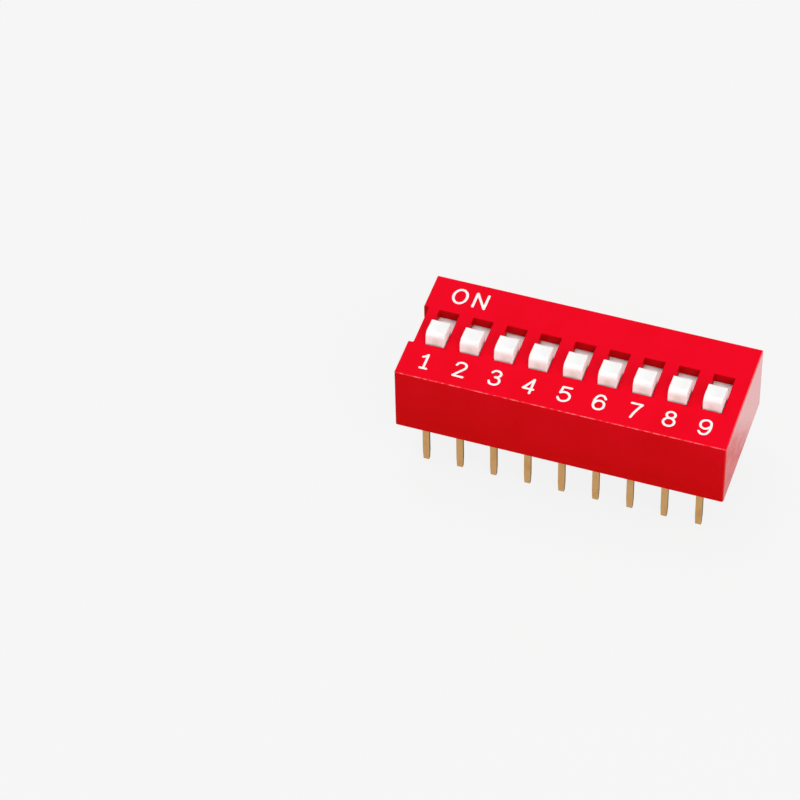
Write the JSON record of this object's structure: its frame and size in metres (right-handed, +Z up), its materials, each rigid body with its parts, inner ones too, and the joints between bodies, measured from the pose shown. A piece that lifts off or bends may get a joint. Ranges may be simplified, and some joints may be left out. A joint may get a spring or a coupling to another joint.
{
  "type": "dip switch",
  "caption": "Slide dip switch for through-hole boards: red cover, black base, a row of raised white slides on top and gold-plated legs below.",
  "frame": {"origin": "centre of the box round the whole part, on the plane of the terminals' tips", "axes": "+X along the row from position 1 to position 9, +Y towards ON, +Z up out of the slides' side"},
  "size_m": [0.0242, 0.0098, 0.0107],
  "materials": {
    "cover_plastic": "smooth moulded red plastic, satin to gloss",
    "base_plastic": "fine matt black moulded plastic",
    "slide_plastic": "smooth white moulded plastic",
    "contact_gold": "gold-plated spring strip",
    "terminal_gold": "gold-plated stamped blade, slightly dull"
  },
  "bodies": {
    "housing": {"cover": "cover_plastic", "base": "base_plastic", "terminal_front_1": "terminal_gold", "terminal_front_2": "terminal_gold", "terminal_front_3": "terminal_gold", "terminal_front_4": "terminal_gold", "terminal_front_5": "terminal_gold", "terminal_front_6": "terminal_gold", "terminal_front_7": "terminal_gold", "terminal_front_8": "terminal_gold", "terminal_front_9": "terminal_gold", "terminal_back_1": "terminal_gold", "terminal_back_2": "terminal_gold", "terminal_back_3": "terminal_gold", "terminal_back_4": "terminal_gold", "terminal_back_5": "terminal_gold", "terminal_back_6": "terminal_gold", "terminal_back_7": "terminal_gold", "terminal_back_8": "terminal_gold", "terminal_back_9": "terminal_gold"},
    "slide_1": {"actuator_1": "slide_plastic", "contact_1": "contact_gold"},
    "slide_2": {"actuator_2": "slide_plastic", "contact_2": "contact_gold"},
    "slide_3": {"actuator_3": "slide_plastic", "contact_3": "contact_gold"},
    "slide_4": {"actuator_4": "slide_plastic", "contact_4": "contact_gold"},
    "slide_5": {"actuator_5": "slide_plastic", "contact_5": "contact_gold"},
    "slide_6": {"actuator_6": "slide_plastic", "contact_6": "contact_gold"},
    "slide_7": {"actuator_7": "slide_plastic", "contact_7": "contact_gold"},
    "slide_8": {"actuator_8": "slide_plastic", "contact_8": "contact_gold"},
    "slide_9": {"actuator_9": "slide_plastic", "contact_9": "contact_gold"}
  },
  "joints": [
    {"name": "slide_1_travel", "type": "slide", "parent": "housing", "child": "slide_1", "axis": [0, 1, 0], "range_m": [0, 0.00175]},
    {"name": "slide_2_travel", "type": "slide", "parent": "housing", "child": "slide_2", "axis": [0, 1, 0], "range_m": [0, 0.00175]},
    {"name": "slide_3_travel", "type": "slide", "parent": "housing", "child": "slide_3", "axis": [0, 1, 0], "range_m": [0, 0.00175]},
    {"name": "slide_4_travel", "type": "slide", "parent": "housing", "child": "slide_4", "axis": [0, 1, 0], "range_m": [0, 0.00175]},
    {"name": "slide_5_travel", "type": "slide", "parent": "housing", "child": "slide_5", "axis": [0, 1, 0], "range_m": [0, 0.00175]},
    {"name": "slide_6_travel", "type": "slide", "parent": "housing", "child": "slide_6", "axis": [0, 1, 0], "range_m": [0, 0.00175]},
    {"name": "slide_7_travel", "type": "slide", "parent": "housing", "child": "slide_7", "axis": [0, 1, 0], "range_m": [0, 0.00175]},
    {"name": "slide_8_travel", "type": "slide", "parent": "housing", "child": "slide_8", "axis": [0, 1, 0], "range_m": [0, 0.00175]},
    {"name": "slide_9_travel", "type": "slide", "parent": "housing", "child": "slide_9", "axis": [0, 1, 0], "range_m": [0, 0.00175]}
  ]
}
